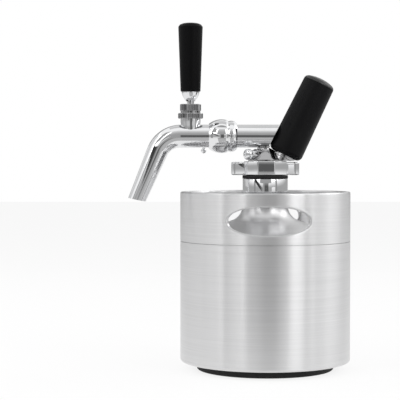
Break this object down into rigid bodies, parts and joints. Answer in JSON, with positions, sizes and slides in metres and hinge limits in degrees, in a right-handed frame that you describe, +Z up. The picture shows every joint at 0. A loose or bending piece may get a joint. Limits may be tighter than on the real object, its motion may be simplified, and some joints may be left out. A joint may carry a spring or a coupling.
{
  "type": "mini keg cold brew coffee maker",
  "caption": "Stainless mini keg with a carrying collar, a draught tap and a leaning gas charger, for making and pouring nitro cold brew coffee.",
  "frame": {"origin": "centre of the rubber base pad's flat underside, where the keg stands", "axes": "+Z up along the keg's axis, -X towards the spout, +X towards the leaning charger, finger holes at -Y and +Y"},
  "size_m": [0.2406, 0.184, 0.3749],
  "materials": {
    "brushed_shell": "vertical soft-brushed stainless steel",
    "polished_shell": "polished stainless steel",
    "chrome": "mirror-bright chrome plate",
    "inner_steel": "plain machined stainless steel",
    "cartridge_steel": "smooth silver lacquered steel",
    "cup_aluminium": "plain turned aluminium",
    "insert_brass": "plain turned brass",
    "handle_black": "satin-gloss black plastic",
    "sleeve_black": "soft-touch matte black plastic",
    "rubber_black": "matte black rubber",
    "washer_nylon": "natural white nylon"
  },
  "bodies": {
    "keg": {"base_pad": "rubber_black", "keg_body": "brushed_shell", "keg_shoulder": "polished_shell", "carry_collar": "brushed_shell", "neck_ring": "polished_shell", "outer_seal": "rubber_black"},
    "dispenser_head": {"head_plug": "inner_steel", "mouth_gasket": "rubber_black", "dip_tube": "inner_steel", "dip_tube_oring": "rubber_black", "head_casting": "chrome", "shank": "chrome", "coupling_washer": "rubber_black", "faucet_body": "chrome", "valve_seat": "inner_steel", "restrictor_disc": "inner_steel", "ball_washer": "washer_nylon", "friction_washer": "washer_nylon", "bonnet": "chrome", "relief_barrel": "chrome", "piercing_pin": "inner_steel", "charger_seal": "rubber_black"},
    "clamp_ring": {"winged_ring": "chrome"},
    "nut": {"coupling_nut": "chrome"},
    "lever": {"tap_lever": "chrome", "ferrule": "chrome", "handle_insert": "insert_brass", "tap_handle": "handle_black"},
    "stem": {"valve_stem": "inner_steel", "valve_seal": "rubber_black"},
    "flow_control": {"flow_shaft": "inner_steel", "flow_lever": "chrome"},
    "relief_pull": {"relief_pin": "inner_steel", "relief_seal": "rubber_black", "relief_knob": "chrome", "relief_spring": "inner_steel"},
    "cartridge": {"gas_cartridge": "cartridge_steel"},
    "charger_holder": {"charger_cup": "cup_aluminium", "charger_sleeve": "sleeve_black"}
  },
  "joints": [
    {"name": "head_lift", "type": "slide", "parent": "keg", "child": "dispenser_head", "axis": [0, 0, 1], "range_m": [0, 0.21]},
    {"name": "ring_turn", "type": "hinge", "parent": "dispenser_head", "child": "clamp_ring", "pos_m": [0, 0, 0.218], "axis": [0, 0, 1], "continuous": true},
    {"name": "tap_pull", "type": "hinge", "parent": "dispenser_head", "child": "lever", "pos_m": [-0.08095, 0, 0.276], "axis": [0, -1, 0], "range_deg": [0, 22]},
    {"name": "stem_slide", "type": "slide", "parent": "dispenser_head", "child": "stem", "axis": [1, 0, 0], "range_m": [0, 0.0095]},
    {"name": "flow_turn", "type": "hinge", "parent": "dispenser_head", "child": "flow_control", "pos_m": [-0.0657, 0.0145, 0.2523], "axis": [0, 1, 0], "range_deg": [0, 90]},
    {"name": "nut_turn", "type": "hinge", "parent": "dispenser_head", "child": "nut", "pos_m": [-0.0458, 0, 0.2523], "axis": [1, 0, 0], "continuous": true},
    {"name": "relief_lift", "type": "slide", "parent": "dispenser_head", "child": "relief_pull", "axis": [-0.766, -0.6428, 0], "range_m": [0, 0.0024], "stiffness_N_per_m": 1500, "springref_m": -0.002, "deforming": ["relief_spring"]},
    {"name": "charger_draw", "type": "slide", "parent": "dispenser_head", "child": "cartridge", "axis": [0.4384, 0, 0.8988], "range_m": [0, 0.09]},
    {"name": "charger_turn", "type": "hinge", "parent": "cartridge", "child": "charger_holder", "pos_m": [0.0205, 0, 0.2321], "axis": [0.4384, 0, 0.8988], "continuous": true}
  ],
  "couplings": [
    {"joint": "stem_slide", "follows": "tap_pull", "m_per_rad": 0.0235}
  ]
}
